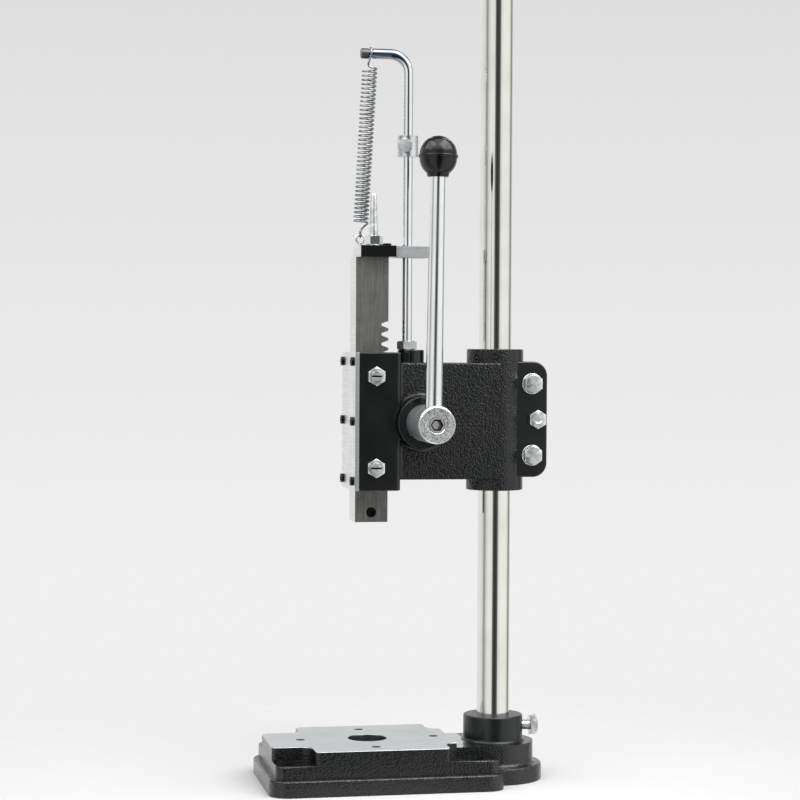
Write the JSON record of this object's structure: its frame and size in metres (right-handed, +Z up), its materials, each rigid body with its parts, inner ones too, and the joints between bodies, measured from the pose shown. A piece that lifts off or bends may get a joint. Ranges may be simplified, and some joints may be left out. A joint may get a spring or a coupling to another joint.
{
  "type": "hand press",
  "caption": "Bench hand press: a lever turns a pinion that drives a rack ram down onto a bored table; the head clamps at any height on a round column.",
  "frame": {"origin": "on the ram axis, in the plane that the base stands on", "axes": "+Z up along the ram and the column, +X from the ram back to the column, lever on the -Y side"},
  "size_m": [0.2785, 0.1807, 0.8],
  "materials": {
    "base_casting": "black wrinkle paint over cast iron, table and bore ground bright",
    "chrome_bar": "hard chrome, polished",
    "zinc_fastener": "bright zinc plate",
    "head_casting": "black wrinkle paint over cast iron, guide block satin",
    "cover_plate": "ground bright",
    "black_screw": "black oxide",
    "gib_iron": "ground",
    "ram_steel": "ground, lightly blued, oiled",
    "gear_steel": "machined",
    "bush_bronze": "bearing bronze, machined",
    "turned_steel": "turned and zinc plated",
    "knob_plastic": "glossy black moulding",
    "bright_steel": "bright zinc plate",
    "cap_paint": "satin black paint",
    "spring_wire": "bright spring steel"
  },
  "bodies": {
    "base": {"base": "base_casting", "column_set_bolt": "zinc_fastener"},
    "column": {"column": "chrome_bar"},
    "head": {"head": "head_casting", "clamp_bolts": "zinc_fastener", "clamp_washers": "zinc_fastener", "clamp_nuts": "zinc_fastener", "middle_bolt": "zinc_fastener", "front_cover": "cover_plate", "cover_screws": "black_screw", "gib_strip": "gib_iron", "gib_screws": "zinc_fastener", "gib_nuts": "zinc_fastener", "shaft_bushes": "bush_bronze", "guide_rod": "chrome_bar", "rod_nut": "zinc_fastener", "return_spring": "spring_wire"},
    "ram": {"ram": "ram_steel", "tool_screw": "black_screw", "ram_cap": "cap_paint", "guide_arm": "bright_steel", "arm_screws": "black_screw", "cap_stud": "zinc_fastener", "cap_nut": "zinc_fastener", "cap_washer": "zinc_fastener", "spring_eye": "zinc_fastener"},
    "lever": {"pinion": "gear_steel", "pinion_shaft": "gear_steel", "pinion_key": "gear_steel", "shaft_collar": "turned_steel", "collar_grub": "black_screw", "hub": "turned_steel", "hub_pin": "gear_steel", "hub_screw": "black_screw", "lever": "chrome_bar", "knob": "knob_plastic"},
    "stop": {"stop_collar": "bright_steel", "collar_bolt": "zinc_fastener"}
  },
  "joints": [
    {"name": "column_swivel", "type": "hinge", "parent": "base", "child": "column", "pos_m": [0.126, 0, 0.01], "axis": [0, 0, 1], "range_deg": [-90, 90]},
    {"name": "head_height", "type": "slide", "parent": "column", "child": "head", "axis": [0, 0, 1], "range_m": [-0.12, 0.3]},
    {"name": "lever_turn", "type": "hinge", "parent": "head", "child": "lever", "pos_m": [0.046, 0, 0.3515], "axis": [0, -1, 0], "range_deg": [0, 130.2]},
    {"name": "ram_slide", "type": "slide", "parent": "head", "child": "ram", "axis": [0, 0, 1], "range_m": [-0.075, 0], "stiffness_N_per_m": 400, "springref_m": 0.12, "deforming": ["return_spring"]},
    {"name": "stop_height", "type": "slide", "parent": "head", "child": "stop", "axis": [0, 0, 1], "range_m": [-0.085, 0.055]}
  ],
  "couplings": [
    {"joint": "ram_slide", "follows": "lever_turn", "m_per_rad": -0.033}
  ]
}
